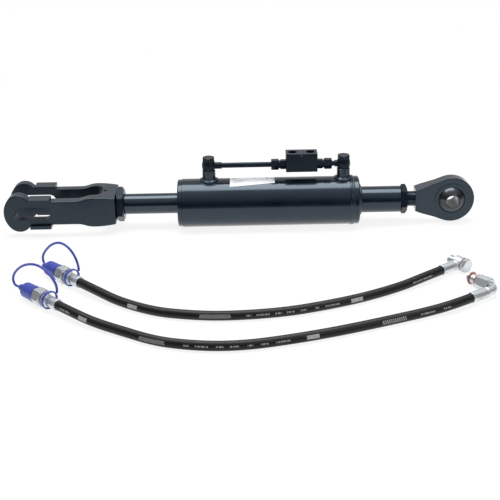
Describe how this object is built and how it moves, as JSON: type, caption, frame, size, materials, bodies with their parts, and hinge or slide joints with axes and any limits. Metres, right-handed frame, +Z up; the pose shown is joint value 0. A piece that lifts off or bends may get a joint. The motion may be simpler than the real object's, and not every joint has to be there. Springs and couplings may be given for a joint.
{
  "type": "tractor lift arm",
  "caption": "Hydraulic lift arm: cylinder with a slotted fork on its rod, a ball eye on a screwed neck, a check valve piped on top and loose hoses with couplers.",
  "frame": {"origin": "centre of the pierced ball in the eye", "axes": "+X along the arm, away from the fork; +Y along the ball's hole; +Z up, the valve on top"},
  "size_m": [0.903, 0.5783, 0.1474],
  "materials": {
    "paint": "gloss",
    "forged_paint": "satin",
    "fitting_paint": "gloss",
    "rod_paint": "gloss",
    "ball_steel": "polished",
    "steel": "satin",
    "zinc": "satin",
    "copper": "satin",
    "bronze": "satin",
    "hose_rubber": "satin",
    "seal_rubber": "satin",
    "guide_plastic": "matt",
    "blue_plastic": "satin"
  },
  "bodies": {
    "barrel": {"barrel_tube": "paint", "base_cap": "paint", "rod_side_boss": "paint", "base_side_boss": "paint", "extension_tube": "paint", "rod_gland": "paint", "rod_side_union": "fitting_paint", "base_side_union": "fitting_paint", "rod_side_bolt": "fitting_paint", "base_side_bolt": "fitting_paint", "long_pipe": "fitting_paint", "short_pipe": "fitting_paint", "valve_block": "fitting_paint", "rod_side_adapter": "fitting_paint", "base_side_adapter": "fitting_paint", "union_nuts": "fitting_paint", "union_washers": "fitting_paint", "thread_bush": "steel", "valve_seats": "steel", "cutting_rings": "steel", "rod_side_spring": "steel", "base_side_spring": "steel", "upper_poppet_spring": "steel", "lower_poppet_spring": "steel", "upper_coupler": "zinc", "lower_coupler": "zinc", "upper_ferrules": "zinc", "lower_ferrules": "zinc", "upper_banjo_eye": "zinc", "lower_elbow": "zinc", "lower_adapter": "zinc", "copper_washers": "copper", "rod_bush": "bronze", "upper_hose": "hose_rubber", "lower_hose": "hose_rubber", "rod_wiper": "seal_rubber", "gland_seals": "seal_rubber", "upper_cap_ring": "blue_plastic", "lower_cap_ring": "blue_plastic", "upper_cap_strap": "blue_plastic", "lower_cap_strap": "blue_plastic"},
    "piston_rings": {"piston_guides": "guide_plastic", "piston_seal": "seal_rubber"},
    "rod": {"piston_rod": "rod_paint", "piston": "steel", "piston_nut": "steel", "fork": "forged_paint"},
    "fork_lock_nut": {"fork_lock_nut": "fitting_paint"},
    "eye": {"eye": "paint"},
    "eye_lock_nut": {"eye_lock_nut": "fitting_paint"},
    "ball": {"ball": "ball_steel"},
    "pilot_piston": {"pilot_piston": "steel"},
    "rod_side_poppet": {"rod_side_poppet": "steel"},
    "base_side_poppet": {"base_side_poppet": "steel"},
    "upper_banjo_bolt": {"upper_banjo_bolt": "zinc"},
    "lower_swivel_nut": {"lower_swivel_nut": "zinc"},
    "upper_dust_cap": {"upper_dust_cap": "blue_plastic"},
    "lower_dust_cap": {"lower_dust_cap": "blue_plastic"},
    "upper_coupler_poppet": {"upper_coupler_poppet": "steel"},
    "lower_coupler_poppet": {"lower_coupler_poppet": "steel"}
  },
  "joints": [
    {"name": "rod_slide", "type": "slide", "parent": "barrel", "child": "piston_rings", "axis": [-1, 0, 0], "range_m": [-0.092, 0.118]},
    {"name": "rod_turn", "type": "hinge", "parent": "piston_rings", "child": "rod", "pos_m": [-0.6, 0, 0], "axis": [1, 0, 0], "continuous": true},
    {"name": "fork_nut_turn", "type": "hinge", "parent": "rod", "child": "fork_lock_nut", "pos_m": [-0.63925, 0, 0], "axis": [1, 0, 0], "continuous": true},
    {"name": "eye_adjust", "type": "slide", "parent": "barrel", "child": "eye", "axis": [1, 0, 0], "range_m": [-0.015, 0.025]},
    {"name": "eye_nut_turn", "type": "hinge", "parent": "barrel", "child": "eye_lock_nut", "pos_m": [-0.092, 0, 0], "axis": [1, 0, 0], "continuous": true},
    {"name": "ball_tilt", "type": "hinge", "parent": "eye", "child": "ball", "pos_m": [0, 0, 0], "axis": [0, 0, 1], "range_deg": [-18, 18]},
    {"name": "pilot_piston_slide", "type": "slide", "parent": "barrel", "child": "pilot_piston", "axis": [1, 0, 0], "range_m": [-0.0022, 0.0022]},
    {"name": "rod_side_check", "type": "slide", "parent": "barrel", "child": "rod_side_poppet", "axis": [-1, 0, 0], "range_m": [0, 0.0025], "stiffness_N_per_m": 800, "springref_m": -0.002, "deforming": ["rod_side_spring"]},
    {"name": "base_side_check", "type": "slide", "parent": "barrel", "child": "base_side_poppet", "axis": [1, 0, 0], "range_m": [0, 0.0025], "stiffness_N_per_m": 800, "springref_m": -0.002, "deforming": ["base_side_spring"]},
    {"name": "banjo_bolt_turn", "type": "hinge", "parent": "barrel", "child": "upper_banjo_bolt", "pos_m": [-0.02368, -0.23515, -0.0348], "axis": [-0.6157, 0.788, 0], "continuous": true},
    {"name": "swivel_nut_turn", "type": "hinge", "parent": "barrel", "child": "lower_swivel_nut", "pos_m": [0.01601, -0.34343, -0.0348], "axis": [-0.5736, 0.8192, 0], "continuous": true},
    {"name": "upper_cap_pull", "type": "slide", "parent": "barrel", "child": "upper_dust_cap", "axis": [-0.6947, 0.7193, 0], "range_m": [0, 0.038], "deforming": ["upper_cap_strap"]},
    {"name": "lower_cap_pull", "type": "slide", "parent": "barrel", "child": "lower_dust_cap", "axis": [-0.7071, 0.7071, 0], "range_m": [0, 0.038], "deforming": ["lower_cap_strap"]},
    {"name": "upper_coupler_press", "type": "slide", "parent": "barrel", "child": "upper_coupler_poppet", "axis": [0.6947, -0.7193, 0], "range_m": [0, 0.005], "stiffness_N_per_m": 1500, "springref_m": -0.002, "deforming": ["upper_poppet_spring"]},
    {"name": "lower_coupler_press", "type": "slide", "parent": "barrel", "child": "lower_coupler_poppet", "axis": [0.7071, -0.7071, 0], "range_m": [0, 0.005], "stiffness_N_per_m": 1500, "springref_m": -0.002, "deforming": ["lower_poppet_spring"]}
  ]
}
